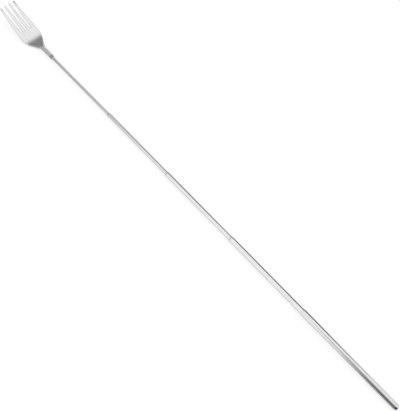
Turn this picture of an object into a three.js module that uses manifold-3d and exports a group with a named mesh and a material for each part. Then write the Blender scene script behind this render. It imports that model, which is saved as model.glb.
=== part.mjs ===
import * as THREE from 'three';
import { mergeVertices } from 'three/addons/utils/BufferGeometryUtils.js';
import Module from 'manifold-3d';

// A telescopic fork drawn out to its full length, lying face up on a table.
// Millimetres. X runs along the rod towards the tines, Y across the head and Z up.
// The origin is on the table, half way along the fork.

// Lengths along the rod, from the flat end of the cap to the tips of the tines
const capLength = 4.1;
const handleLength = 125.5;
const tube4Shown = 107;
const tube3Shown = 103;
const tube2Shown = 102;
const tube1Shown = 105;
const ferruleLength = 19.3;
const headLength = 68.4;

// Tube sections: each tube runs in the next one with the same radial room
const tube1Diameter = 3.2;
const tubeWall = 0.25;
const tubeGap = 0.2;

// Mouths, rolled in to a lip that guides the inner tube and holds its foot back
const lipLength = 0.7;
const lipClearance = 0.05;
const mouthRoll = 1;
const mouthRounding = 0.3;

// Friction feet: a flanged plug in the tube's lower end, with two half shells around it
const shimLength = 4.5;
const shimSplit = 0.4;
const flangeThickness = 0.8;
const plugDepth = 2.5;
const runningClearance = 0.05;
const pressClearance = 0.02;
const seatGap = 0.1;
const stopGap = 0.15;

// End cap, with a long plug that the sections stop on when the fork is closed
const capPlugLength = 15;
const capBand = 1.3;
const capFlatDiameter = 3.6;

// Ferrule between the thinnest tube and the head
const ferruleHeadWall = 1;
const ferruleTailWall = 0.8;
const ferruleRimWall = 0.45;
const ferruleTaper = 3.4;
const ferruleRounding = 0.3;
const tangLength = 8.5;
const tangGap = 0.3;

// Head in plan
const tineCount = 4;
const neckStep = 0.2;
const palmWidth = 23.4;
const palmWidestAt = 23;
const shoulderRun = 11.5;
const palmEase = 7.4;
const edgeEase = 13.5;
const tinePitch = 5.9;
const tineLength = 36;
const tineTipWidth = 2.2;
const tineTipLength = 1.7;
const slotRootWidth = 2.5;

// Head seen from the side
const neckThickness = 3;
const palmThickness = 2;
const tineThickness = 1.6;
const palmLowestAt = 15.2;
const neckRun = 3;
const dipEase = 6;
const bowlEase = 8;
const tipRise = 15.3;
const tipRun = 16;
const tipSlope = THREE.MathUtils.degToRad(29);

// Fineness of the round surfaces
const turnSegments = 36;
const shimSegments = 18;
const roundSegments = 4;
const curveSegments = 10;
const sheetSegments = 12;

const shownLength = [tube1Shown, tube2Shown, tube3Shown, tube4Shown];
const sectionCount = shownLength.length;

// Section 1 is the thinnest tube, and the handle is the one after section 4
const handleSection = sectionCount + 1;
const outerRadius = (section) => tube1Diameter / 2 + (section - 1) * (tubeGap + tubeWall);
const boreRadius = (section) => outerRadius(section) - tubeWall;
const plugRadius = (section) => boreRadius(section) - pressClearance;
const handleRadius = outerRadius(handleSection);

// Upper end of a section with the fork drawn out
function mouthAt(section) {
  let place = capLength + handleLength;
  for (let s = sectionCount; s >= section; s -= 1) {
    place += shownLength[s - 1];
  }
  return place;
}

const shimTopAt = (section) => mouthAt(section + 1) - lipLength - stopGap;
const tubeFootAt = (section) => shimTopAt(section) + seatGap;
const ferruleTailAt = mouthAt(1);
const neckAt = ferruleTailAt + ferruleLength;
const totalLength = neckAt + headLength;

const wasm = await Module();
wasm.setup();

const toSolid = (geometry) => {
  const bare = geometry.clone();
  bare.deleteAttribute('normal');
  bare.deleteAttribute('uv');
  const merged = mergeVertices(bare);
  const vertProperties = new Float32Array(merged.attributes.position.array);
  const triVerts = new Uint32Array(merged.index.array);
  return new wasm.Manifold(new wasm.Mesh({ numProp: 3, vertProperties, triVerts }));
};

const toGeometry = (solid) => {
  const mesh = solid.getMesh();
  const geometry = new THREE.BufferGeometry();
  geometry.setAttribute('position', new THREE.BufferAttribute(mesh.vertProperties, 3));
  geometry.setIndex(new THREE.BufferAttribute(mesh.triVerts, 1));
  geometry.computeVertexNormals();
  return geometry;
};

// Turned piece: the path holds radius and distance along the rod, outer side going up the rod
function turned(path) {
  const geometry = new THREE.LatheGeometry(path.getPoints(roundSegments), turnSegments);
  return geometry.rotateZ(-Math.PI / 2);
}

// A tube with a plain foot and, at its mouth, a lip rolled in towards the tube inside it
function mouthedTube(section, foot) {
  const outer = outerRadius(section);
  const bore = boreRadius(section);
  const lip = outerRadius(section - 1) + lipClearance;
  const mouth = mouthAt(section);
  const path = new THREE.Path();
  path.moveTo(bore, foot);
  path.lineTo(outer, foot);
  path.lineTo(outer, mouth - mouthRoll);
  path.quadraticCurveTo(outer, mouth, outer - mouthRounding, mouth);
  path.lineTo(lip, mouth);
  path.lineTo(lip, mouth - lipLength);
  path.lineTo(bore, mouth - lipLength);
  path.lineTo(bore, foot);
  return turned(path);
}

// The thinnest tube has plain ends: its upper end is pressed into the ferrule, up to the tang
function thinnestTube() {
  const outer = outerRadius(1);
  const bore = boreRadius(1);
  const foot = tubeFootAt(1);
  const top = neckAt - tangLength - tangGap;
  const path = new THREE.Path();
  path.moveTo(bore, foot);
  path.lineTo(outer, foot);
  path.lineTo(outer, top);
  path.lineTo(bore, top);
  path.lineTo(bore, foot);
  return turned(path);
}

function footPlug(section) {
  const flangeRadius = boreRadius(section + 1) - runningClearance;
  const flangeTop = shimTopAt(section) - shimLength - seatGap;
  const pin = plugRadius(section);
  const path = new THREE.Path();
  path.moveTo(0, flangeTop - flangeThickness);
  path.lineTo(flangeRadius, flangeTop - flangeThickness);
  path.lineTo(flangeRadius, flangeTop);
  path.lineTo(pin, flangeTop);
  path.lineTo(pin, tubeFootAt(section) + plugDepth);
  path.lineTo(0, tubeFootAt(section) + plugDepth);
  return turned(path);
}

// One half shell of a foot, split from the other half at both sides
function frictionShim(section, turn) {
  const outer = boreRadius(section + 1) - runningClearance;
  const inner = plugRadius(section) + runningClearance;
  const outerSplit = Math.asin(shimSplit / 2 / outer);
  const innerSplit = Math.asin(shimSplit / 2 / inner);
  const shape = new THREE.Shape();
  shape.absarc(0, 0, outer, outerSplit, Math.PI - outerSplit, false);
  shape.absarc(0, 0, inner, Math.PI - innerSplit, innerSplit, true);
  shape.closePath();
  const options = { depth: shimLength, bevelEnabled: false, curveSegments: shimSegments };
  const geometry = new THREE.ExtrudeGeometry(shape, options);
  geometry.rotateY(Math.PI / 2);
  geometry.rotateX(turn);
  return geometry.translate(shimTopAt(section) - shimLength, 0, 0);
}

function endCap() {
  const plug = plugRadius(handleSection);
  const flat = capFlatDiameter / 2;
  const shoulder = capLength - seatGap;
  const path = new THREE.Path();
  path.moveTo(0, 0);
  path.lineTo(flat, 0);
  path.bezierCurveTo(
    (flat + handleRadius) / 2, 0,
    handleRadius, (capLength - capBand) / 2,
    handleRadius, capLength - capBand,
  );
  path.lineTo(handleRadius, shoulder);
  path.lineTo(plug, shoulder);
  path.lineTo(plug, capLength + capPlugLength);
  path.lineTo(0, capLength + capPlugLength);
  return turned(path);
}

const ferruleBore = outerRadius(1) + pressClearance;
const ferruleHeadRadius = ferruleBore + ferruleHeadWall;

// Sleeve that tapers slightly away from the head and ends in a short cone on the tube
function ferrule() {
  const top = neckAt - seatGap;
  const path = new THREE.Path();
  path.moveTo(ferruleBore, ferruleTailAt);
  path.lineTo(ferruleBore + ferruleRimWall, ferruleTailAt);
  path.lineTo(ferruleBore + ferruleTailWall, ferruleTailAt + ferruleTaper);
  path.lineTo(ferruleHeadRadius, top - ferruleRounding);
  path.quadraticCurveTo(ferruleHeadRadius, top, ferruleHeadRadius - ferruleRounding, top);
  path.lineTo(ferruleBore, top);
  path.lineTo(ferruleBore, ferruleTailAt);
  return turned(path);
}

// Middle line of the head from the side: it dips from the rod to the table, then sweeps up
function headCurves() {
  const dip = -(handleRadius - palmThickness / 2);
  const lowest = new THREE.Vector2(palmLowestAt, dip);
  const neck = new THREE.CubicBezierCurve(
    new THREE.Vector2(0, 0),
    new THREE.Vector2(neckRun, 0),
    new THREE.Vector2(palmLowestAt - dipEase, dip),
    lowest,
  );
  const bowl = new THREE.CubicBezierCurve(
    lowest,
    new THREE.Vector2(palmLowestAt + bowlEase, dip),
    new THREE.Vector2(headLength - tipRun, tipRise - tipRun * Math.tan(tipSlope)),
    new THREE.Vector2(headLength, tipRise),
  );
  return { neck, bowl };
}

// Sheet outline: the middle line set off to both sides by half the thickness there
function sideOutline() {
  const upper = [];
  const lower = [];
  const follow = (curve, firstStep, startThickness, endThickness) => {
    for (let step = firstStep; step <= sheetSegments; step += 1) {
      const share = step / sheetSegments;
      const half = THREE.MathUtils.lerp(startThickness, endThickness, share) / 2;
      const point = curve.getPoint(share);
      const along = curve.getTangent(share);
      const normal = new THREE.Vector2(-along.y, along.x);
      upper.unshift(point.clone().addScaledVector(normal, half));
      lower.push(point.clone().addScaledVector(normal, -half));
    }
  };
  const { neck, bowl } = headCurves();
  follow(neck, 0, neckThickness, palmThickness);
  follow(bowl, 1, palmThickness, tineThickness);
  return new THREE.Shape([...lower, ...upper]);
}

// Plan outline: neck, shoulders and palm, with tines between rounded slots
function planOutline() {
  const neck = ferruleHeadRadius + neckStep;
  const palm = palmWidth / 2;
  const tipBase = headLength - tineTipLength;
  const tipHalf = tineTipWidth / 2;
  const rootRadius = slotRootWidth / 2;
  const rootAt = headLength - tineLength + rootRadius;
  const tineAt = (tine) => (tine - (tineCount - 1) / 2) * tinePitch;
  const edge = tineAt(tineCount - 1) + tipHalf;
  const shape = new THREE.Shape();
  shape.moveTo(0, -neck);
  shape.bezierCurveTo(
    shoulderRun, -(neck + palm) / 2,
    palmWidestAt - palmEase, -palm,
    palmWidestAt, -palm,
  );
  shape.bezierCurveTo(
    palmWidestAt + edgeEase, -palm,
    tipBase - edgeEase, -(edge + palm) / 2,
    tipBase, -edge,
  );
  for (let tine = 0; tine < tineCount; tine += 1) {
    shape.absellipse(tipBase, tineAt(tine), tineTipLength, tipHalf, -Math.PI / 2, Math.PI / 2, false, 0);
    if (tine < tineCount - 1) {
      const slotAt = tineAt(tine) + tinePitch / 2;
      shape.lineTo(rootAt, slotAt - rootRadius);
      shape.absarc(rootAt, slotAt, rootRadius, -Math.PI / 2, Math.PI / 2, true);
      shape.lineTo(tipBase, tineAt(tine + 1) - tipHalf);
    }
  }
  shape.bezierCurveTo(
    tipBase - edgeEase, (edge + palm) / 2,
    palmWidestAt + edgeEase, palm,
    palmWidestAt, palm,
  );
  shape.bezierCurveTo(
    palmWidestAt - palmEase, palm,
    shoulderRun, (neck + palm) / 2,
    0, neck,
  );
  return shape;
}

// Head: the curved sheet cut to its plan outline, with a round tang behind the neck
function forkHead() {
  const sheetWidth = 2 * palmWidth;
  const sheetOptions = { depth: sheetWidth, bevelEnabled: false };
  const sheet = new THREE.ExtrudeGeometry(sideOutline(), sheetOptions);
  sheet.rotateX(Math.PI / 2);
  sheet.translate(0, sheetWidth / 2, 0);

  const floor = -2 * handleRadius;
  const height = 2 * (tipRise + handleRadius);
  const blankOptions = { depth: height, bevelEnabled: false, curveSegments };
  const blank = new THREE.ExtrudeGeometry(planOutline(), blankOptions);
  blank.translate(0, 0, floor);

  const tangRadius = outerRadius(1);
  const tangRoot = neckThickness / 2;
  const tangPath = new THREE.Path();
  tangPath.moveTo(0, -tangLength);
  tangPath.lineTo(tangRadius, -tangLength);
  tangPath.lineTo(tangRadius, 0);
  tangPath.lineTo(0, tangRoot);
  const head = toSolid(sheet).intersect(toSolid(blank)).add(toSolid(turned(tangPath)));
  return toGeometry(head).translate(neckAt, 0, 0);
}

const steel = (roughness) => new THREE.MeshStandardMaterial({ color: 0xd4d5d6, metalness: 1, roughness });
const brass = () => new THREE.MeshStandardMaterial({ color: 0xc9a24f, metalness: 1, roughness: 0.35 });
const bronze = () => new THREE.MeshStandardMaterial({ color: 0xb87a45, metalness: 1, roughness: 0.4 });

const fork = new THREE.Group();
fork.position.set(-totalLength / 2, 0, handleRadius);

function place(name, geometry, material) {
  const mesh = new THREE.Mesh(geometry, material);
  mesh.name = name;
  fork.add(mesh);
}

place('end_cap', endCap(), steel(0.18));
place('handle_tube', mouthedTube(handleSection, capLength), steel(0.16));

for (let section = sectionCount; section >= 1; section -= 1) {
  const tube = section === 1 ? thinnestTube() : mouthedTube(section, tubeFootAt(section));
  place(`tube_${section}`, tube, steel(0.16));
  place(`foot_plug_${section}`, footPlug(section), brass());
  place(`shim_${section}a`, frictionShim(section, 0), bronze());
  place(`shim_${section}b`, frictionShim(section, Math.PI), bronze());
}

place('neck_ferrule', ferrule(), steel(0.2));
place('fork_head', forkHead(), steel(0.22));

export default fork;
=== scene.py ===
import math

import bpy
import bmesh
from mathutils import Matrix, Vector
from mathutils.geometry import interpolate_bezier


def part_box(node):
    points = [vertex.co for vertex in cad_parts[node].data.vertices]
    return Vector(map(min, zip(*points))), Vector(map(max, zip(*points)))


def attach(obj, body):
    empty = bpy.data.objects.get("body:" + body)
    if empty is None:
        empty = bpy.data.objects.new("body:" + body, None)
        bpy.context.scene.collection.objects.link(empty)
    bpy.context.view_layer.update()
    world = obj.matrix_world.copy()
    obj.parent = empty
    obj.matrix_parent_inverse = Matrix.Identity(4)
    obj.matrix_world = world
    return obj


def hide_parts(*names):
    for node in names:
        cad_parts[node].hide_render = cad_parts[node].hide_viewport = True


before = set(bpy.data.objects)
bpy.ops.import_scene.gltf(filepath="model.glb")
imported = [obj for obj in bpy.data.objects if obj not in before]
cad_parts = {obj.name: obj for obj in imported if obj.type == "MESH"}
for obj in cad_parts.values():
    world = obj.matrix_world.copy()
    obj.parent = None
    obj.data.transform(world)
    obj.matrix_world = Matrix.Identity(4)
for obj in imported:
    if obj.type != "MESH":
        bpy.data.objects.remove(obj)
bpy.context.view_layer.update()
mm = 0.001

# the rod's axis lies half the handle's thickness above the table
handleLow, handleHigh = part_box("handle_tube")
axisZ = (handleLow.z + handleHigh.z) / 2
print("frame loaded, rod axis at", round(axisZ / mm, 2), "mm")


# camera: looking down on the fork from beside the handle, head away to the upper left
photoView = {
    "imageHeight": 411,      # pixels, for the focal length below
    "azimuth": 229.29,       # degrees round the object
    "elevation": 61.0,
    "distance": 0.9694,
    "focalPixels": 919.8,
    "targetX": -30.12 * mm,
    "targetY": -1.65 * mm,
    "sensor": 36.0,
    "nearest": 0.01,
    "farthest": 50.0,
}


def makeCamera(v):
    a, e = math.radians(v["azimuth"]), math.radians(v["elevation"])
    back = Vector((math.sin(a) * math.cos(e), -math.cos(a) * math.cos(e), math.sin(e)))
    data = bpy.data.cameras.new("photoCamera")
    data.sensor_width = v["sensor"]
    data.lens = v["focalPixels"] * v["sensor"] / v["imageHeight"]
    data.clip_start, data.clip_end = v["nearest"], v["farthest"]
    camera = bpy.data.objects.new("photoCamera", data)
    bpy.context.scene.collection.objects.link(camera)
    camera.location = Vector((v["targetX"], v["targetY"], axisZ)) + back * v["distance"]
    camera.rotation_mode = "QUATERNION"
    camera.rotation_quaternion = (-back).to_track_quat("-Z", "Y")
    bpy.context.scene.camera = camera


makeCamera(photoView)
bpy.context.scene.view_settings.view_transform = "Standard"
print("camera placed")


# small helpers for building meshes and node trees

def finishMesh(bm, name, material, body, nodes, sharpAngle=35):
    mesh = bpy.data.meshes.new(name)
    bm.to_mesh(mesh)
    bm.free()
    mesh.shade_smooth()
    mesh.set_sharp_from_angle(angle=math.radians(sharpAngle))
    mesh.materials.append(material)
    piece = bpy.data.objects.new(name, mesh)
    bpy.context.scene.collection.objects.link(piece)
    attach(piece, body)
    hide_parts(*nodes)
    return piece


def newMaterial(name):
    material = bpy.data.materials.new(name)
    material.use_nodes = True
    tree = material.node_tree
    shader = tree.nodes["Principled BSDF"]
    return material, tree, shader


def addNode(tree, kind, inputs=None, **settings):
    node = tree.nodes.new(kind)
    for key, value in settings.items():
        setattr(node, key, value)
    for key, value in (inputs or {}).items():
        if isinstance(value, bpy.types.NodeSocket):
            tree.links.new(value, node.inputs[key])
        else:
            node.inputs[key].default_value = value
    return node


def newGroup(name, inputs, outputs):
    group = bpy.data.node_groups.new(name, "ShaderNodeTree")
    for socketName, kind, value in inputs:
        socket = group.interface.new_socket(socketName, in_out="INPUT", socket_type=kind)
        socket.default_value = value
    for socketName, kind in outputs:
        group.interface.new_socket(socketName, in_out="OUTPUT", socket_type=kind)
    return group, group.nodes.new("NodeGroupInput").outputs, group.nodes.new("NodeGroupOutput")


def mathNode(tree, operation, *values, clamp=False):
    node = addNode(tree, "ShaderNodeMath", dict(enumerate(values)), operation=operation, use_clamp=clamp)
    return node.outputs[0]


def noiseMask(tree, space, noise, levels, reach=(0, 1)):
    # noise spread out between two of its levels
    field = addNode(tree, "ShaderNodeTexNoise", {"Vector": space, **noise})
    mask = addNode(tree, "ShaderNodeMapRange",
                   {"Value": field.outputs["Fac"], "From Min": levels[0], "From Max": levels[1],
                    "To Min": reach[0], "To Max": reach[1]})
    return mask.outputs[0]


def mixTones(tree, share, first, second):
    mix = addNode(tree, "ShaderNodeMix", {"Factor": share}, data_type="RGBA")
    tree.links.new(first, mix.inputs[6])       # this node's two colours, and then its mixed colour
    tree.links.new(second, mix.inputs[7])
    return mix.outputs[2]


# shader group: metal finish with drawn lines, rubbed smudges and stray scratches
finishLook = {
    "lines": {"Scale": 1.0, "Detail": 3.0},
    "smudges": {"Detail": 5.0, "Roughness": 0.6, "Distortion": 0.8},
    "smudgeLevels": (0.48, 0.68),        # of the noise, where a smudge starts and where it is full
    "scratches": {"Scale": 1.0, "Detail": 1.0},
    "scratchSets": (((0, 0, 0.25), (70, 5200, 1800)),    # turn, and noise cells per metre
                    ((0, 0, -0.5), (110, 6400, 1800))),
    "scratchLevels": (0.66, 0.74),
    "patches": {"Scale": 130.0, "Detail": 2.0},          # where there are scratches
    "patchLevels": (0.46, 0.62),
    "lineWear": 0.35,                    # what lines, smudges and scratches add to the wear
    "smudgeWear": 0.5,
    "scratchWear": 0.8,
    "scratchHeight": -0.6,               # in the relief, beside the lines
}


def makeFinishGroup():
    look = finishLook
    group, source, sink = newGroup(
        "metalFinish",
        (("Coordinates", "NodeSocketVector", (0, 0, 0)),
         ("Base Tone", "NodeSocketColor", (0.8, 0.8, 0.8, 1)),
         ("Worn Tone", "NodeSocketColor", (0.7, 0.7, 0.7, 1)),
         ("Line Along", "NodeSocketFloat", 30.0),     # noise cells per metre along the rod
         ("Line Across", "NodeSocketFloat", 6000.0),  # and across it
         ("Smudge Size", "NodeSocketFloat", 60.0),
         ("Smooth", "NodeSocketFloat", 0.1),          # roughness where the polish is best
         ("Rough", "NodeSocketFloat", 0.25)),         # and where it is rubbed
        (("Tone", "NodeSocketColor"), ("Roughness", "NodeSocketFloat"), ("Relief", "NodeSocketFloat")))
    place = source["Coordinates"]
    across = source["Line Across"]
    lineScale = addNode(group, "ShaderNodeCombineXYZ", {"X": source["Line Along"], "Y": across, "Z": across})
    lineSpace = addNode(group, "ShaderNodeVectorMath", {0: place, 1: lineScale.outputs[0]}, operation="MULTIPLY")
    lineField = addNode(group, "ShaderNodeTexNoise", {"Vector": lineSpace.outputs[0], **look["lines"]})
    lines = lineField.outputs["Fac"]
    smudgeNoise = {"Scale": source["Smudge Size"], **look["smudges"]}
    smudges = noiseMask(group, place, smudgeNoise, look["smudgeLevels"])

    # two sets of fine scratches, lying across each other
    streaks = []
    for turn, stretch in look["scratchSets"]:
        space = addNode(group, "ShaderNodeMapping", {"Vector": place, "Rotation": turn, "Scale": stretch})
        streaks.append(noiseMask(group, space.outputs[0], look["scratches"], look["scratchLevels"]))
    patches = noiseMask(group, place, look["patches"], look["patchLevels"])
    stray = mathNode(group, "MULTIPLY", mathNode(group, "MAXIMUM", *streaks), patches)

    lineShare = mathNode(group, "MULTIPLY", lines, look["lineWear"])
    worn = mathNode(group, "MULTIPLY_ADD", smudges, look["smudgeWear"], lineShare, clamp=True)
    wear = mathNode(group, "MULTIPLY_ADD", stray, look["scratchWear"], worn, clamp=True)
    roughness = addNode(group, "ShaderNodeMapRange",
                        {"Value": wear, "To Min": source["Smooth"], "To Max": source["Rough"]})
    tone = mixTones(group, wear, source["Base Tone"], source["Worn Tone"])
    relief = mathNode(group, "MULTIPLY_ADD", stray, look["scratchHeight"], lines)
    group.links.new(tone, sink.inputs["Tone"])
    group.links.new(roughness.outputs[0], sink.inputs["Roughness"])
    group.links.new(relief, sink.inputs["Relief"])
    return group


# shader group: painted shade gathered at a rim, with grime patches, full at one place along the rod and gone at
# another
shadeAndGrimeLook = {
    "tone": (0.37, 0.37, 0.375),
    "patches": {"Scale": 900.0, "Detail": 3.0},
    "patchLevels": (0.35, 0.6),
    "patchCover": (0.7, 1.0),            # least and most
}


def makeShadeAndGrimeGroup():
    look = shadeAndGrimeLook
    group, source, sink = newGroup(
        "rimShadeAndGrime",
        (("Coordinates", "NodeSocketVector", (0, 0, 0)),
         ("Bare Tone", "NodeSocketColor", (0.8, 0.8, 0.8, 1)),
         ("Shade And Grime Tone", "NodeSocketColor", (*look["tone"], 1)),
         ("Full At", "NodeSocketFloat", 0.0),
         ("Gone At", "NodeSocketFloat", 1.0)),
        (("Tone", "NodeSocketColor"),))
    place = source["Coordinates"]
    along = addNode(group, "ShaderNodeSeparateXYZ", {0: place}).outputs["X"]
    # painted shade: the tone darkens towards the rim as if the seam were in shade, broken up by grime patches
    ring = addNode(group, "ShaderNodeMapRange",
                   {"Value": along, "From Min": source["Gone At"], "From Max": source["Full At"]},
                   interpolation_type="SMOOTHSTEP")
    patches = noiseMask(group, place, look["patches"], look["patchLevels"], look["patchCover"])
    cover = mathNode(group, "MULTIPLY", ring.outputs[0], patches)
    group.links.new(mixTones(group, cover, source["Bare Tone"], source["Shade And Grime Tone"]), sink.inputs["Tone"])
    return group


finishGroup = makeFinishGroup()
shadeAndGrimeGroup = makeShadeAndGrimeGroup()


def makeMetal(name, look, shadeAndGrimeAt=None):
    material, tree, shader = newMaterial(name)
    place = addNode(tree, "ShaderNodeTexCoord").outputs["Object"]
    finish = addNode(tree, "ShaderNodeGroup",
                     {"Coordinates": place,
                      "Base Tone": (*look["tone"], 1), "Worn Tone": (*look["wornTone"], 1),
                      "Line Along": look["lineAlong"], "Line Across": look["lineAcross"],
                      "Smudge Size": look["smudgeSize"], "Smooth": look["smooth"], "Rough": look["rough"]},
                     node_tree=finishGroup).outputs
    tone = finish["Tone"]
    # painted shade with grime: near a rim the tone is darkened
    if shadeAndGrimeAt:
        full, gone = shadeAndGrimeAt
        shadeAndGrime = addNode(tree, "ShaderNodeGroup",
                        {"Coordinates": place, "Bare Tone": tone, "Full At": full, "Gone At": gone},
                        node_tree=shadeAndGrimeGroup)
        tone = shadeAndGrime.outputs["Tone"]
    bump = addNode(tree, "ShaderNodeBump",
                   {"Strength": look["bump"], "Distance": look["bumpDepth"], "Height": finish["Relief"]})
    shader.inputs["Metallic"].default_value = 1.0
    tree.links.new(tone, shader.inputs["Base Color"])
    tree.links.new(finish["Roughness"], shader.inputs["Roughness"])
    tree.links.new(bump.outputs["Normal"], shader.inputs["Normal"])
    return material


tubeLook = {
    "tone": (0.86, 0.86, 0.87), "wornTone": (0.77, 0.77, 0.78), "smooth": 0.08, "rough": 0.2,
    "lineAlong": 35.0, "lineAcross": 5200.0, "smudgeSize": 70.0, "bump": 0.3, "bumpDepth": 0.025 * mm,
}
ferruleLook = {**tubeLook, "tone": (0.89, 0.89, 0.9), "smooth": 0.26, "rough": 0.36}   # brushed
headLook = {
    "tone": (0.83, 0.83, 0.835), "wornTone": (0.75, 0.75, 0.755), "smooth": 0.11, "rough": 0.26,
    "lineAlong": 90.0, "lineAcross": 3800.0, "smudgeSize": 95.0, "bump": 0.3, "bumpDepth": 0.025 * mm,
}
plugLook = {
    "tone": (0.78, 0.58, 0.27), "wornTone": (0.60, 0.42, 0.19), "smooth": 0.2, "rough": 0.38,
    "lineAlong": 9000.0, "lineAcross": 300.0, "smudgeSize": 300.0, "bump": 0.15, "bumpDepth": 0.02 * mm,
}
shimLook = {
    "tone": (0.70, 0.44, 0.24), "wornTone": (0.50, 0.29, 0.15), "smooth": 0.24, "rough": 0.42,
    "lineAlong": 400.0, "lineAcross": 5000.0, "smudgeSize": 260.0, "bump": 0.12, "bumpDepth": 0.02 * mm,
}
tubeSteel = makeMetal("drawnTubeSteel", tubeLook)
headSteel = makeMetal("pressedHeadSteel", headLook)
plugBrass = makeMetal("turnedPlugBrass", plugLook)
shimBronze = makeMetal("rolledShimBronze", shimLook)
print("materials made")


def bezier(*corners, count=60):
    return interpolate_bezier(*(Vector(c).to_3d() for c in corners), count)


# turned pieces: a section of (place along the rod, radius) points spun round the rod's axis
turning = {
    "steps": 96,
    "tolerance": 0.002 * mm,     # within which a vertex counts as lying on a ring
    "weld": 0.0002 * mm,         # vertices closer than this become one
    "support": 1.6,              # place of the extra points beside a rounded corner, in roundings
    "leastSide": 2.2,            # side that gets an extra point, in distances to that point
}


def radiusOf(vert):
    return math.hypot(vert.co.y, vert.co.z - axisZ)


def ringEdges(bm, x, r):
    near = turning["tolerance"]
    return [e for e in bm.edges
            if all(abs(v.co.x - x) < near and abs(radiusOf(v) - r) < near for v in e.verts)]


def withSupports(section, rounds, closed):
    # extra points beside each rounded corner keep the shading of the long faces true
    away = {corner: size * turning["support"] for corner, size, _ in rounds}
    points, count = [], len(section)
    for i, here in enumerate(section):
        here = Vector(here)
        for step in (-1, 0, 1):
            if step == 0:
                points.append(here)
            elif i in away and (closed or 0 <= i + step < count):
                side = Vector(section[(i + step) % count]) - here
                if side.length > turning["leastSide"] * away[i]:
                    points.append(here + side.normalized() * away[i])
    return points


def turnedMesh(section, rounds, closed):
    bm = bmesh.new()
    verts = [bm.verts.new((x, 0, axisZ + r)) for x, r in withSupports(section, rounds, closed)]
    edges = [bm.edges.new(pair) for pair in zip(verts, verts[1:])]
    if closed:
        edges.append(bm.edges.new((verts[-1], verts[0])))
    bmesh.ops.spin(bm, geom=verts + edges, cent=(0, 0, axisZ), axis=(1, 0, 0), angle=2 * math.pi,
                   steps=turning["steps"], use_merge=True)
    bmesh.ops.remove_doubles(bm, verts=bm.verts[:], dist=turning["weld"])
    bmesh.ops.recalc_face_normals(bm, faces=bm.faces[:])
    for corner, size, segments in rounds:
        bmesh.ops.bevel(bm, geom=ringEdges(bm, *section[corner]), offset=size, offset_type="OFFSET",
                        segments=segments, profile=0.5, affect="EDGES", material=-1)
    return bm


# the tubes, each with its mouth rolled in round the thinner tube inside it
tubeFit = {
    "wall": 0.25 * mm,
    "lipLength": 0.7 * mm,
    "lipClearance": 0.05 * mm,
    "lipRamp": 0.4 * mm,
    "rollLength": 1.0 * mm,      # over this length the mouth is rolled in
    "rollDepth": 0.3 * mm,
    "rollEase": 2 / 3,           # share of both that the curve's handles reach
    "rollPoints": 9,
    "rollBand": 0.5 * mm,        # behind the roll, where the straight wall's shading ends
    "lipRound": 0.05 * mm,
    "footRound": 0.18 * mm,
    "roundSteps": 2,
    "shadeAndGrimeRun": (0.3 * mm, 1.35 * mm),   # from the mouth to where the painted shade and grime are full and where they end
    "shadeAndGrimeMouths": ("tube_2", "tube_3", "tube_4"),
}
slidingSections = range(1, 5)


def tubeSpan(node):
    low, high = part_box(node)
    return low.x, high.x, (high.y - low.y) / 2


def makeTube(node, innerNode, name, body):
    fit = tubeFit
    foot, mouth, outer = tubeSpan(node)
    bore = outer - fit["wall"]
    section, rounds = [(foot, bore), (foot, outer)], [(1, fit["footRound"], fit["roundSteps"])]
    if innerNode:
        lip = tubeSpan(innerNode)[2] + fit["lipClearance"]
        lipFoot, rollFoot = mouth - fit["lipLength"], mouth - fit["rollLength"]
        rolledIn, ease = outer - fit["rollDepth"], fit["rollEase"]
        roll = bezier((rollFoot, outer), (rollFoot + ease * fit["rollLength"], outer),
                      (mouth, rolledIn + ease * fit["rollDepth"]), (mouth, rolledIn), count=fit["rollPoints"])
        section += [(rollFoot - fit["rollBand"], outer)] + [(p.x, p.y) for p in roll]
        rounds.append((len(section), fit["lipRound"], fit["roundSteps"]))
        section += [(mouth, lip), (lipFoot, lip), (lipFoot - fit["lipRamp"], bore)]
    else:
        section += [(mouth, outer), (mouth, bore)]
    bm = turnedMesh(section, rounds, closed=True)
    steel = tubeSteel
    # painted shade with grime darkens the mouths of these tubes
    if node in fit["shadeAndGrimeMouths"]:
        steel = makeMetal(f"{name}Steel", tubeLook, [mouth - run for run in fit["shadeAndGrimeRun"]])
    finishMesh(bm, name, steel, body, [node])


for number in slidingSections:
    inner = f"tube_{number - 1}" if number > 1 else None
    makeTube(f"tube_{number}", inner, f"drawnTube{number}", f"section_{number}")
makeTube("handle_tube", "tube_4", "handleTube", "handle")
print("tubes drawn")


# friction feet inside the tubes: flanged plugs and split half shells
footFit = {
    "flange": 0.8 * mm,
    "plugRound": 0.12 * mm,
    "plugSteps": 3,
    "pressRoom": 0.02 * mm,
    "runRoom": 0.05 * mm,
    "shimSplit": 0.4 * mm,
    "shimSteps": 32,
    "shimRound": 0.05 * mm,
    "shimRoundSteps": 2,
    "cornerAngle": math.radians(60),     # a shim's edges that turn more than this are rounded
}


def plugRadius(node):
    return tubeSpan(node)[2] - tubeFit["wall"] - footFit["pressRoom"]


def makePlug(number):
    low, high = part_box(f"foot_plug_{number}")
    flangeRadius, pin = (high.y - low.y) / 2, plugRadius(f"tube_{number}")
    flangeTop = low.x + footFit["flange"]
    section = [(low.x, 0), (low.x, flangeRadius), (flangeTop, flangeRadius), (flangeTop, pin),
               (high.x, pin), (high.x, 0)]
    rounds = [(corner, footFit["plugRound"], footFit["plugSteps"]) for corner in (1, 2, 4)]
    bm = turnedMesh(section, rounds, closed=False)
    finishMesh(bm, f"footPlug{number}", plugBrass, f"section_{number}", [f"foot_plug_{number}"])


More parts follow.
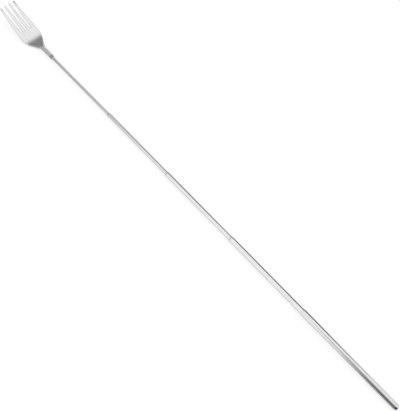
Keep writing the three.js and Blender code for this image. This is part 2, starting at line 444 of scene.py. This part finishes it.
def makeShim(number, half):
    low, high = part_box(f"shim_{number}{half}")
    inner, outer = plugRadius(f"tube_{number}") + footFit["runRoom"], (high.z - low.z) / 2
    split = math.asin(footFit["shimSplit"] / 2 / inner)
    side = 1 if low.y + high.y > 0 else -1
    middle = (0, 0, axisZ)
    bm = bmesh.new()
    verts = [bm.verts.new((x, 0, axisZ + r))
             for x, r in ((low.x, inner), (high.x, inner), (high.x, outer), (low.x, outer))]
    bm.faces.new(verts)
    bmesh.ops.rotate(bm, verts=verts, cent=middle, matrix=Matrix.Rotation(-side * split, 3, "X"))
    bmesh.ops.spin(bm, geom=bm.faces[:], cent=middle, axis=(1, 0, 0), angle=-side * (math.pi - 2 * split),
                   steps=footFit["shimSteps"])
    bmesh.ops.recalc_face_normals(bm, faces=bm.faces[:])
    corners = [e for e in bm.edges
               if len(e.link_faces) == 2 and e.calc_face_angle() > footFit["cornerAngle"]]
    bmesh.ops.bevel(bm, geom=corners, offset=footFit["shimRound"], offset_type="OFFSET",
                    segments=footFit["shimRoundSteps"], profile=0.5, affect="EDGES", material=-1)
    name = f"frictionShim{number}{half}"
    finishMesh(bm, name, shimBronze, f"shims_{number}", [f"shim_{number}{half}"])


for number in slidingSections:
    makePlug(number)
    makeShim(number, "a")
    makeShim(number, "b")
print("friction feet made")


# rounded end cap with a plug in the handle
capFit = {
    "flatRadius": 1.3 * mm,
    "roundLength": 3.4 * mm,
    "roundEase": 0.5,            # share of each side that the curve's handles reach
    "coneSlope": 0.2,            # how steeply the curve leaves the straight band
    "roundPoints": 16,
    "bandStart": 0.1 * mm,       # behind the curve, where the straight band's shading starts
    "seamRound": 0.3 * mm,
    "seamSteps": 4,
    "seamGap": 0.12 * mm,
}


def makeCap():
    fit = capFit
    low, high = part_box("end_cap")
    foot, _, outer = tubeSpan("handle_tube")
    plug = plugRadius("handle_tube")
    shoulder, bandAt = foot - fit["seamGap"], low.x + fit["roundLength"]
    flat, ease = fit["flatRadius"], fit["roundEase"]
    reach = ease * fit["roundLength"]
    curve = bezier((low.x, flat), (low.x, flat + ease * (outer - flat)),
                   (bandAt - reach, outer - fit["coneSlope"] * reach), (bandAt, outer), count=fit["roundPoints"])
    section = [(low.x, 0)] + [(p.x, p.y) for p in curve] + [(bandAt + fit["bandStart"], outer)]
    rounds = [(len(section), fit["seamRound"], fit["seamSteps"])]
    section += [(shoulder, outer), (shoulder, plug), (high.x, plug), (high.x, 0)]
    bm = turnedMesh(section, rounds, closed=False)
    finishMesh(bm, "endCap", tubeSteel, "handle", ["end_cap"])


makeCap()


# ferrule: a sleeve that tapers a little and ends in a short cone on the thinnest tube
ferruleFit = {
    "rimWall": 0.48 * mm,
    "tailWall": 0.8 * mm,
    "taper": 3.4 * mm,
    "bodyRound": 0.9 * mm,
    "headRound": 0.4 * mm,
    "bodySteps": 5,
    "rimRound": 0.08 * mm,
    "rimSteps": 3,
    "shadeAndGrimeRun": (1.9 * mm, 3.9 * mm),    # from the tail to where the painted shade and grime are full and where they end
}


def makeFerrule():
    fit = ferruleFit
    tail, top, headRadius = tubeSpan("neck_ferrule")
    bore = tubeSpan("tube_1")[2] + footFit["pressRoom"]
    section = [(tail, bore), (tail, bore + fit["rimWall"]), (tail + fit["taper"], bore + fit["tailWall"]),
               (top, headRadius), (top, bore)]
    rounds = [(2, fit["bodyRound"], fit["bodySteps"]), (3, fit["headRound"], fit["bodySteps"]),
              (1, fit["rimRound"], fit["rimSteps"])]
    bm = turnedMesh(section, rounds, closed=True)
    # painted shade with grime darkens the ferrule's tail where it meets the tube
    steel = makeMetal("ferruleSteel", ferruleLook, [tail + run for run in fit["shadeAndGrimeRun"]])
    finishMesh(bm, "neckFerrule", steel, "section_1", ["neck_ferrule"])


makeFerrule()
print("cap and ferrule turned")


# fork head: a grid laid out as neck, palm and tines, bent to its side view and given thickness
headShape = {
    "tineCount": 4,
    "pitch": 5.9 * mm,           # from tine to tine
    "slotRoot": 2.5 * mm,        # slot width at its rounded end
    "tineLength": 36 * mm,       # with the tip
    "tipHalf": 1.17 * mm,        # half a tine's width where its tip starts
    "tipLength": 1.7 * mm,
    "tipEnd": 0.6,               # share of the tip's width left at its very end
    "tipThin": 0.35,             # and of its thickness
    "tipShort": 0.2 * mm,        # kept back for the rounding
    "tipTilt": math.radians(21),   # outward turn of the outer tines' tips
    "tiltRun": 12 * mm,          # over this length it grows
    "neckHalf": 2.82 * mm,       # plan view: half the neck's width
    "neckGap": 0.1 * mm,         # between the neck and the ferrule
    "widestAt": 23 * mm,         # and where the head is widest
    "shoulderRun": 11.5 * mm,    # reach of the outline's handles
    "palmEase": 7.4 * mm,
    "edgeEase": 13.5 * mm,
    "lowestAt": 15.8 * mm,       # side view: where the palm is lowest
    "neckRun": 3 * mm,           # reach of the bend's handles
    "dipEase": 6 * mm,
    "bowlEase": 8 * mm,
    "tipRise": 15.3 * mm,        # of the tips above the rod's axis
    "tipRun": 16 * mm,
    "tipSlope": math.radians(29),
    "clearance": 0.02 * mm,      # under the palm's lowest place
    "neckThick": 3.0 * mm,
    "palmThick": 2.0 * mm,
    "tineThick": 1.6 * mm,
    "edgeInset": 0.5 * mm,       # from each edge to where the face is flat
    "insetShare": 0.45,          # and at most this share of half a tine
    "faceEdge": 0.93,            # height left at the face's edges
    "backEdge": 0.12,            # and at the back's
    "rootFace": 0.96,            # height left at the face's edge round the slots' ends
    "rootEase": 5 * mm,          # over this length it goes over to the other edges' height
    "rootSpread": 4 * mm,        # before a slot's end, where the grid starts to close in on it
    "rootFlat": 0.3,             # share of the slot's width that its round end starts with
    "ovalNeck": 13 * mm,         # over this length the neck goes from oval to flat
    "ovalFade": 0.7,             # power by which it does so
    "ovalLeast": 0.06,           # squared height left at the oval's edges
    "slopeStep": 0.2 * mm,       # to both sides, for the side view's slope
    "tangStep": 0.05 * mm,       # behind the neck, where its end is drawn in
    "tangLength": 8.5 * mm,
    "tangRadius": 1.56 * mm,
    # places along the head in millimetres, closer at the slots' ends and at the tips
    "stations": (0, 0.5, 2, 4, 6, 8, 10, 12, 14, 16, 18, 20, 22, 24, 26, 28, 30, 32.0,
                 32.4, 32.55, 32.85, 33.65, 35.2, 38, 42, 46, 50, 54, 58, 62, 65, 66.7, 67.6, 68.1, 68.4),
    "rootStation": 18,           # the one at which the slots start
    "levels": 2,                 # of subdivision
}
linesPerTine = 4                 # edge, inset, inset, edge


def alongCurve(points, x):
    for a, b in zip(points, points[1:]):
        if x <= b.x:
            share = (x - a.x) / (b.x - a.x) if b.x > a.x else 0
            return a.lerp(b, max(0, share))
    return points[-1].copy()


def headCurves(h, length, dip, palmHalf):
    low = (h["lowestAt"], dip)
    side = bezier((0, 0), (h["neckRun"], 0), (h["lowestAt"] - h["dipEase"], dip), low)
    side += bezier(low, (h["lowestAt"] + h["bowlEase"], dip),
                   (length - h["tipRun"], h["tipRise"] - h["tipRun"] * math.tan(h["tipSlope"])),
                   (length, h["tipRise"]))[1:]
    tipBase = length - h["tipLength"]
    edgeTip = (h["tineCount"] - 1) / 2 * h["pitch"] + h["tipHalf"]
    plan = bezier((0, h["neckHalf"]), (h["shoulderRun"], (h["neckHalf"] + palmHalf) / 2),
                  (h["widestAt"] - h["palmEase"], palmHalf), (h["widestAt"], palmHalf))
    plan += bezier((h["widestAt"], palmHalf), (h["widestAt"] + h["edgeEase"], palmHalf),
                   (tipBase - h["edgeEase"], (edgeTip + palmHalf) / 2), (tipBase, edgeTip))[1:]
    return side, plan


def tipShare(h, length, x):
    past = max(0, (x - length + h["tipLength"]) / h["tipLength"])
    return math.sqrt(max(0, 1 - past * past))


def outerTilt(h, length, x):
    share = max(0, (x - length + h["tiltRun"]) / h["tiltRun"])
    return math.tan(h["tipTilt"]) * share


def tineLines(h, plan, length, x):
    # the tines' lines at a place along the head
    rootX, tipBase = length - h["tineLength"], length - h["tipLength"]
    share = min(1, max(0, (x - rootX) / (tipBase - rootX)))
    half = (h["pitch"] - h["slotRoot"]) / 2 * (1 - share) + h["tipHalf"] * share
    outerEdge = alongCurve(plan, x).y
    narrow = max(h["tipEnd"], tipShare(h, length, x))
    lines = []
    for tine in range(h["tineCount"]):
        middle = (tine - (h["tineCount"] - 1) / 2) * h["pitch"]
        low = -outerEdge if tine == 0 else middle - half
        high = outerEdge if tine == h["tineCount"] - 1 else middle + half
        centre, reach = (low + high) / 2, (high - low) / 2 * narrow
        inner = reach - min(h["edgeInset"], reach * h["insetShare"])
        lines += [centre - reach, centre - inner, centre + inner, centre + reach]
    return lines


def headThickness(h, length, x):
    if x < h["lowestAt"]:
        return h["neckThick"] + (h["palmThick"] - h["neckThick"]) * x / h["lowestAt"]
    share = (x - h["lowestAt"]) / (length - h["lowestAt"])
    sheet = h["palmThick"] + (h["tineThick"] - h["palmThick"]) * share
    return sheet * max(h["tipThin"], tipShare(h, length, x))


def faceNormal(h, side, length, x):
    before = alongCurve(side, max(0, x - h["slopeStep"]))
    after = alongCurve(side, min(length, x + h["slopeStep"]))
    return Vector((before.y - after.y, 0, after.x - before.x)).normalized()


def slotClosing(h, x, rootX):
    # how far a slot's edge is drawn in at its round end, in half slot widths
    if x < rootX:
        return (1 - h["rootFlat"]) * max(0, 1 - (rootX - x) / h["rootSpread"])
    past = min(1, (x - rootX) / (h["slotRoot"] / 2))
    return 1 - math.sqrt(max(h["rootFlat"] ** 2, 1 - (1 - past) ** 2))


def drawTang(bm, h, neckX):
    # the neck's end drawn in to a round pin that goes into the ferrule
    endFaces = [f for f in bm.faces if all(abs(v.co.x - neckX) < h["tangStep"] / 2 for v in f.verts)]
    radius = h["tangRadius"]
    for drawBack in (h["tangStep"], h["tangLength"]):
        made = bmesh.ops.extrude_face_region(bm, geom=endFaces)["geom"]
        for v in [g for g in made if isinstance(g, bmesh.types.BMVert)]:
            angle = math.atan2(v.co.z - axisZ, v.co.y)
            v.co = (neckX - drawBack, math.cos(angle) * radius, axisZ + math.sin(angle) * radius)
        bmesh.ops.delete(bm, geom=endFaces, context="FACES")
        endFaces = [g for g in made if isinstance(g, bmesh.types.BMFace)]


def makeHead():
    h = headShape
    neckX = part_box("neck_ferrule")[1].x + h["neckGap"]
    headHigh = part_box("fork_head")[1]
    length = headHigh.x - neckX
    side, plan = headCurves(h, length, h["palmThick"] / 2 - axisZ + h["clearance"], headHigh.y)
    stations = [s * mm for s in h["stations"]]
    stations[-1] -= h["tipShort"]
    root, lineCount, lastLine = h["rootStation"], linesPerTine * h["tineCount"], linesPerTine - 1
    rootX = stations[root]
    rootLines, rootEdge = tineLines(h, plan, length, rootX), alongCurve(plan, rootX).y

    bm = bmesh.new()
    bmesh.ops.create_grid(bm, x_segments=len(stations) - 1, y_segments=lineCount - 1, size=1)
    spot = {v: (round((v.co.x + 1) / 2 * (len(stations) - 1)), round((v.co.y + 1) / 2 * (lineCount - 1)))
            for v in bm.verts}
    slots = [f for f in bm.faces if min(spot[v][0] for v in f.verts) >= root
             and min(spot[v][1] for v in f.verts) % linesPerTine == lastLine]
    bmesh.ops.delete(bm, geom=slots, context="FACES")

    # every vertex to its place half way through the sheet, with what lies above and below it
    lifts = {}
    for v in bm.verts:
        i, j = spot[v]
        x = stations[i]
        edge = alongCurve(plan, x).y
        lines = tineLines(h, plan, length, x)
        y = rootLines[j] * edge / rootEdge if i < root else lines[j]
        outermost, tineEdge = j in (0, lineCount - 1), j % linesPerTine in (0, lastLine)
        if tineEdge and not outermost:
            y += h["slotRoot"] / 2 * slotClosing(h, x, rootX) * (1 if j % linesPerTine == lastLine else -1)
        flat = min(1, x / h["ovalNeck"]) ** h["ovalFade"]
        oval = math.sqrt(max(h["ovalLeast"], 1 - min(1, abs(y) / edge) ** 2))
        top = back = flat + (1 - flat) * oval
        if outermost or (tineEdge and i >= root):
            ease = 1 if outermost else min(1, (x - rootX) / h["rootEase"])
            faceEdge = h["rootFace"] + (h["faceEdge"] - h["rootFace"]) * ease
            top *= 1 - (1 - faceEdge) * flat
            back *= 1 - (1 - h["backEdge"]) * flat
        height = alongCurve(side, x).y
        if j // linesPerTine in (0, h["tineCount"] - 1):
            height -= outerTilt(h, length, x) * (abs(y) - (lines[-linesPerTine] + lines[-1]) / 2)
        v.co = (neckX + x, y, axisZ + height)
        halfway = faceNormal(h, side, length, x) * headThickness(h, length, x) / 2
        lifts[v.co.copy().freeze()] = (halfway * top, halfway * back)

    faceVerts = bm.verts[:]
    made = bmesh.ops.extrude_face_region(bm, geom=bm.faces[:])
    for v in [g for g in made["geom"] if isinstance(g, bmesh.types.BMVert)]:
        v.co = v.co - lifts[v.co.copy().freeze()][1]
    for v in faceVerts:
        v.co = v.co + lifts[v.co.copy().freeze()][0]
    drawTang(bm, h, neckX)
    bmesh.ops.recalc_face_normals(bm, faces=bm.faces[:])
    piece = finishMesh(bm, "forkHead", headSteel, "section_1", ["fork_head"], sharpAngle=180)
    rounding = piece.modifiers.new("rounding", "SUBSURF")
    rounding.levels = rounding.render_levels = h["levels"]


makeHead()
print("head pressed")


# studio: white table, soft light from above, and boards that only the metal sees, painting darker reflections
# into it
studio = {
    "tableSize": 6.0,
    "tableDrop": 0.1 * mm,   # below the boards that lie on it
    "tableTone": 0.5,
    "tableGlow": 0.58,       # so that the table shows white to the camera and in the metal
    "roomLight": 0.78,
    "boxPower": 3.0,
    "boxHeight": 1.3,
    "boxSize": (1.8, 1.4),
    "boxPlace": (-0.25, 0.05),
}
white = (1, 1, 1, 1)


def lightPathMask(tree):
    # 1 for what the camera and the metal see, 0 for what lights the scene
    path = addNode(tree, "ShaderNodeLightPath").outputs
    seen = mathNode(tree, "MAXIMUM", path["Is Camera Ray"], path["Is Glossy Ray"])
    return mathNode(tree, "MAXIMUM", seen, path["Is Transmission Ray"])


def makeRoom():
    world = bpy.data.worlds.new("studioRoom")
    world.use_nodes = True
    tree = world.node_tree
    tree.nodes.clear()
    shown = addNode(tree, "ShaderNodeBackground", {"Color": white, "Strength": 1.0})
    light = addNode(tree, "ShaderNodeBackground", {"Color": white, "Strength": studio["roomLight"]})
    mix = addNode(tree, "ShaderNodeMixShader",
                  {0: lightPathMask(tree), 1: light.outputs[0], 2: shown.outputs[0]})
    addNode(tree, "ShaderNodeOutputWorld", {"Surface": mix.outputs[0]})
    bpy.context.scene.world = world


def stagePlane(name, low, high):
    # a flat sheet between two opposite corners, with an empty material
    span = high - low
    bm = bmesh.new()
    bmesh.ops.create_grid(bm, x_segments=1, y_segments=1, size=0.5)
    if span.y == 0:
        bmesh.ops.rotate(bm, verts=bm.verts[:], matrix=Matrix.Rotation(math.pi / 2, 3, "X"))
    if span.x == 0:
        bmesh.ops.rotate(bm, verts=bm.verts[:], matrix=Matrix.Rotation(math.pi / 2, 3, "Y"))
    bmesh.ops.scale(bm, verts=bm.verts[:], vec=span)
    bmesh.ops.translate(bm, verts=bm.verts[:], vec=(low + high) / 2)
    mesh = bpy.data.meshes.new(name)
    bm.to_mesh(mesh)
    bm.free()
    material = bpy.data.materials.new(name)
    material.use_nodes = True
    material.node_tree.nodes.clear()
    mesh.materials.append(material)
    plane = bpy.data.objects.new(name, mesh)
    bpy.context.scene.collection.objects.link(plane)
    return plane, material.node_tree


def makeTable():
    half, drop, tone = studio["tableSize"] / 2, studio["tableDrop"], studio["tableTone"]
    _, tree = stagePlane("whiteTable", Vector((-half, -half, -drop)), Vector((half, half, -drop)))
    matt = addNode(tree, "ShaderNodeBsdfDiffuse", {"Color": (tone, tone, tone, 1)})
    glow = mathNode(tree, "MULTIPLY", lightPathMask(tree), studio["tableGlow"])
    glowing = addNode(tree, "ShaderNodeEmission", {"Color": white, "Strength": glow})
    both = addNode(tree, "ShaderNodeAddShader", {0: matt.outputs[0], 1: glowing.outputs[0]})
    addNode(tree, "ShaderNodeOutputMaterial", {"Surface": both.outputs[0]})


def makeSoftbox():
    data = bpy.data.lights.new("softbox", "AREA")
    data.shape = "RECTANGLE"
    data.size, data.size_y = studio["boxSize"]
    data.energy = studio["boxPower"]
    lamp = bpy.data.objects.new("softbox", data)
    lamp.location = (*studio["boxPlace"], studio["boxHeight"])
    lamp.visible_camera = lamp.visible_glossy = False
    bpy.context.scene.collection.objects.link(lamp)


# boards, painted reflections that only the metal sees: two opposite corners, tone in the metal, and the fade in
# from each edge
layer = 0.01 * mm        # between boards that lie on the table over each other
boards = {
    "farBoard": {"low": (-0.24, -0.6, 0.0), "high": (0.65, -0.6, 0.48), "tone": 0.15,
                 "fadeLow": (0.12, 0, 0), "fadeHigh": (0.12, 0, 0.12)},
    "farTail": {"low": (-0.6, -0.61, 0.0), "high": (-0.05, -0.61, 0.48), "tone": 0.74,
                "fadeLow": (0, 0, 0), "fadeHigh": (0.05, 0, 0.12)},
    "farHigh": {"low": (0.17, -0.605, 0.3), "high": (0.62, -0.605, 0.95), "tone": 0.15,
                "fadeLow": (0.12, 0, 0), "fadeHigh": (0.06, 0, 0.45)},
    "farTable": {"low": (-0.25, -0.6, 0.0), "high": (-0.07, -0.003, 0.0), "tone": 0.17,
                 "fadeLow": (0.06, 0, 0), "fadeHigh": (0.02, 0, 0)},
    "farSlope": {"low": (-0.09, -0.6, layer), "high": (0.14, -0.003, layer), "tone": 0.17,
                 "fadeLow": (0.02, 0, 0), "fadeHigh": (0.02, 0.014, 0)},
    "tailTable": {"low": (-0.6, -0.6, -layer), "high": (-0.15, -0.003, -layer), "tone": 0.74,
                  "fadeLow": (0, 0, 0), "fadeHigh": (0.03, 0, 0)},
    "headBoard": {"low": (0.75, -0.9, 0.0), "high": (0.75, 0.9, 1.85), "tone": 0.27,
                  "fadeLow": (0, 0.62, 0), "fadeHigh": (0, 0, 1.65)},
    "sideBoard": {"low": (0.42, 0.6, 0.0), "high": (0.9, 0.6, 0.9), "tone": 0.5,
                  "fadeLow": (0.15, 0, 0), "fadeHigh": (0, 0, 0.4)},
    "headTable": {"low": (-0.1, -0.6, -2 * layer), "high": (0.9, 0.6, -2 * layer), "tone": 0.5,
                  "fadeLow": (0.28, 0, 0), "fadeHigh": (0, 0, 0)},
    "nearBoard": {"low": (-1.0, 0.45, 0.0), "high": (-0.135, 0.45, 0.6), "tone": 0.1,
                  "fadeLow": (0, 0, 0), "fadeHigh": (0.1, 0, 0.27)},
    "nearHigh": {"low": (-1.0, 0.46, 0.28), "high": (0.0, 0.46, 2.2), "tone": 0.28,
                 "fadeLow": (0, 0, 0.3), "fadeHigh": (0.19, 0, 1.4)},
    "nearLine": {"low": (-0.12, 0.455, 0.75), "high": (0.09, 0.455, 2.2), "tone": 0.1,
                 "fadeLow": (0.05, 0, 0.3), "fadeHigh": (0.08, 0, 0.9)},
    # painted shadow: these two sheets lie on the table beside the rod and show the metal a shade there
    "nearShadowTable": {"low": (-0.6, 0.003, 0.0), "high": (-0.18, 0.45, 0.0), "tone": 0.44,
                  "fadeLow": (0, 0.004, 0), "fadeHigh": (0.11, 0, 0)},
    "nearShadowStrip": {"low": (-0.28, 0.003, 2 * layer), "high": (0.25, 0.03, 2 * layer), "tone": 0.72,
                  "fadeLow": (0.08, 0, 0), "fadeHigh": (0, 0.02, 0)},
    "neckStrip": {"low": (0.222, 0.0, 3 * layer), "high": (0.262, 0.03, 3 * layer), "tone": 0.45,
                  "fadeLow": (0.006, 0, 0), "fadeHigh": (0.008, 0.015, 0)},
    "endBoard": {"low": (-0.8, -0.1, 0.0), "high": (-0.8, 0.6, 0.9), "tone": 0.06,
                 "fadeLow": (0, 0.1, 0), "fadeHigh": (0, 0, 0.2)},
    "endCorner": {"low": (-1.0, 0.44, 0.0), "high": (-0.33, 0.44, 0.9), "tone": 0.03,
                  "fadeLow": (0, 0, 0), "fadeHigh": (0.1, 0, 0.2)},
    "endTable": {"low": (-0.8, 0.004, 2 * layer), "high": (-0.3198, 0.45, 2 * layer), "tone": 0.04,
                 "fadeLow": (0, 0.004, 0), "fadeHigh": (0.01, 0, 0)},
    "ceilingBoard": {"low": (-1.0, -1.2, 1.3), "high": (0.05, 0.0, 1.3), "tone": 0.87,
                     "fadeLow": (0, 0, 0), "fadeHigh": (0.25, 0.15, 0)},
    "ceilingStrip": {"low": (-0.6, -0.1, 1.29), "high": (0.02, 0.46, 1.29), "tone": 0.5,
                     "fadeLow": (0, 0.45, 0), "fadeHigh": (0.2, 0, 0)},
}


def makeBoard(name, b):
    low, high, tone = Vector(b["low"]), Vector(b["high"]), b["tone"]
    board, tree = stagePlane(name, low, high)
    place = addNode(tree, "ShaderNodeTexCoord").outputs["Object"]
    split = addNode(tree, "ShaderNodeSeparateXYZ", {0: place})
    cover = 1.0
    for axis in range(3):
        for edge, fade, inward in ((low, b["fadeLow"], 1), (high, b["fadeHigh"], -1)):
            if fade[axis]:
                step = addNode(tree, "ShaderNodeMapRange",
                               {"Value": split.outputs[axis], "From Min": edge[axis],
                                "From Max": edge[axis] + inward * fade[axis]}, interpolation_type="SMOOTHSTEP")
                cover = mathNode(tree, "MULTIPLY", cover, step.outputs[0])
    clear = addNode(tree, "ShaderNodeBsdfTransparent")
    shown = addNode(tree, "ShaderNodeEmission", {"Color": (tone, tone, tone, 1), "Strength": 1.0})
    mix = addNode(tree, "ShaderNodeMixShader", {0: cover, 1: clear.outputs[0], 2: shown.outputs[0]})
    addNode(tree, "ShaderNodeOutputMaterial", {"Surface": mix.outputs[0]})
    # painted reflection: the board shows only in the metal, never to the camera, the light or the shadows
    board.visible_camera = board.visible_diffuse = board.visible_shadow = False


makeRoom()
makeTable()
makeSoftbox()
for boardName, boardFacts in boards.items():
    makeBoard(boardName, boardFacts)
print("studio lit")
